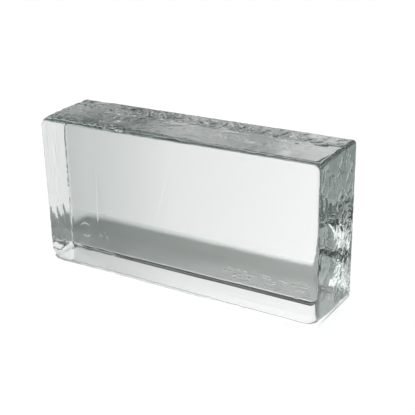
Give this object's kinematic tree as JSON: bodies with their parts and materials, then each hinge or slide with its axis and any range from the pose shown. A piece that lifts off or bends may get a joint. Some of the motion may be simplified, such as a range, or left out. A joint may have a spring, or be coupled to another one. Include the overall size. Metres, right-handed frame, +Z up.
{
  "type": "solid glass block",
  "caption": "Solid cast clear glass building block with smooth large faces, rippled narrow sides and rounded edges, for mortared or bonded light-passing walls.",
  "frame": {"origin": "middle of the long narrow side that the block stands on", "axes": "+X along the length, +Y through the thickness away from the front face, +Z up along the height"},
  "size_m": [0.2, 0.05, 0.1],
  "materials": {
    "clear_cast_glass": "clear cast glass: large faces fire-polished, narrow sides rippled by the mould"
  },
  "bodies": {
    "root": {"glass_block": "clear_cast_glass"}
  },
  "joints": []
}
